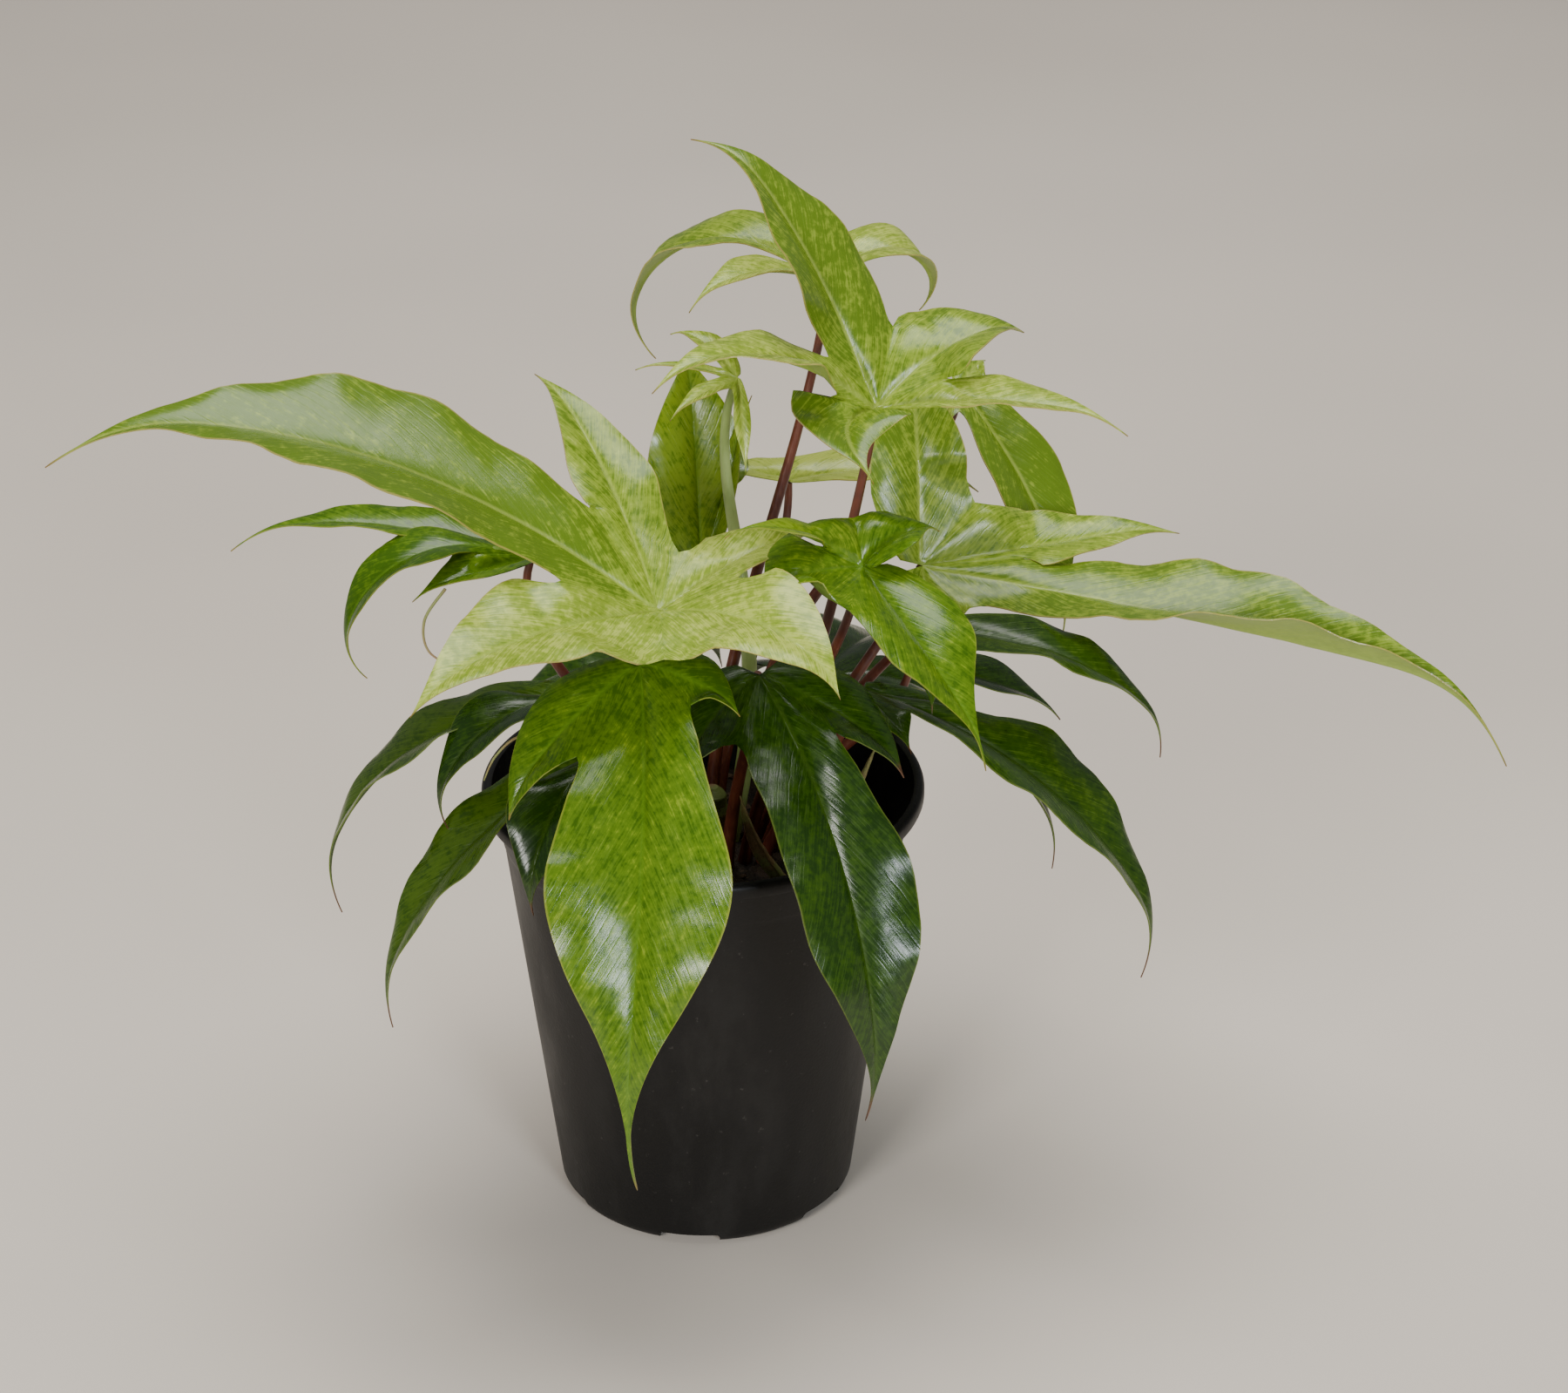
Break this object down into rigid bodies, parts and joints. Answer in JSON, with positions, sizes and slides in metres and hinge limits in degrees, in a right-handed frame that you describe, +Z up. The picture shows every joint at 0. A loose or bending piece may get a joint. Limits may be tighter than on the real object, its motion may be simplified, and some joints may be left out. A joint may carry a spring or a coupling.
{
  "type": "potted philodendron",
  "caption": "Potted houseplant with lobed, drooping variegated leaves on long red-brown stalks, growing from a tapered round nursery pot.",
  "frame": {"origin": "centre of the pot floor's underside, on the surface the pot stands on", "axes": "+Z up along the pot's axis, +X to the right along the widest spread of the leaves, -Y towards the viewer in front of the plant"},
  "size_m": [0.4671, 0.2739, 0.3746],
  "materials": {
    "pot_plastic": "matte, thin moulded nursery pot",
    "potting_soil": "rough, damp potting mix",
    "stem_skin": "satin",
    "sheath_skin": "satin, dry at the edges",
    "petiole_red": "satin",
    "petiole_green": "satin",
    "leaf_mint": "glossy, mottled",
    "leaf_green": "glossy, mottled",
    "leaf_dark": "glossy"
  },
  "bodies": {
    "root": {"pot": "pot_plastic", "soil": "potting_soil", "stem": "stem_skin", "sheath_front": "sheath_skin", "sheath_right": "sheath_skin", "sheath_back": "sheath_skin", "leaf_a_blade": "leaf_mint", "leaf_a_petiole": "petiole_red", "leaf_b_blade": "leaf_mint", "leaf_b_petiole": "petiole_red", "leaf_c_blade": "leaf_mint", "leaf_c_petiole": "petiole_red", "leaf_f_blade": "leaf_green", "leaf_f_petiole": "petiole_red", "leaf_g_blade": "leaf_mint", "leaf_g_petiole": "petiole_red", "leaf_h_blade": "leaf_mint", "leaf_h_petiole": "petiole_red", "leaf_j_blade": "leaf_dark", "leaf_j_petiole": "petiole_red", "leaf_k_blade": "leaf_green", "leaf_k_petiole": "petiole_red", "leaf_l_blade": "leaf_green", "leaf_l_petiole": "petiole_red", "leaf_m_blade": "leaf_dark", "leaf_m_petiole": "petiole_red", "leaf_n_blade": "leaf_dark", "leaf_n_petiole": "petiole_red", "leaf_o_blade": "leaf_dark", "leaf_o_petiole": "petiole_red", "leaf_p_blade": "leaf_green", "leaf_p_petiole": "petiole_red", "leaf_q_blade": "leaf_dark", "leaf_q_petiole": "petiole_red", "leaf_r_blade": "leaf_dark", "leaf_r_petiole": "petiole_red", "leaf_s_blade": "leaf_mint", "leaf_s_petiole": "petiole_red", "leaf_t_blade": "leaf_mint", "leaf_t_petiole": "petiole_green", "leaf_u_blade": "leaf_dark", "leaf_u_petiole": "petiole_red", "leaf_v_blade": "leaf_dark", "leaf_v_petiole": "petiole_red"}
  },
  "joints": []
}
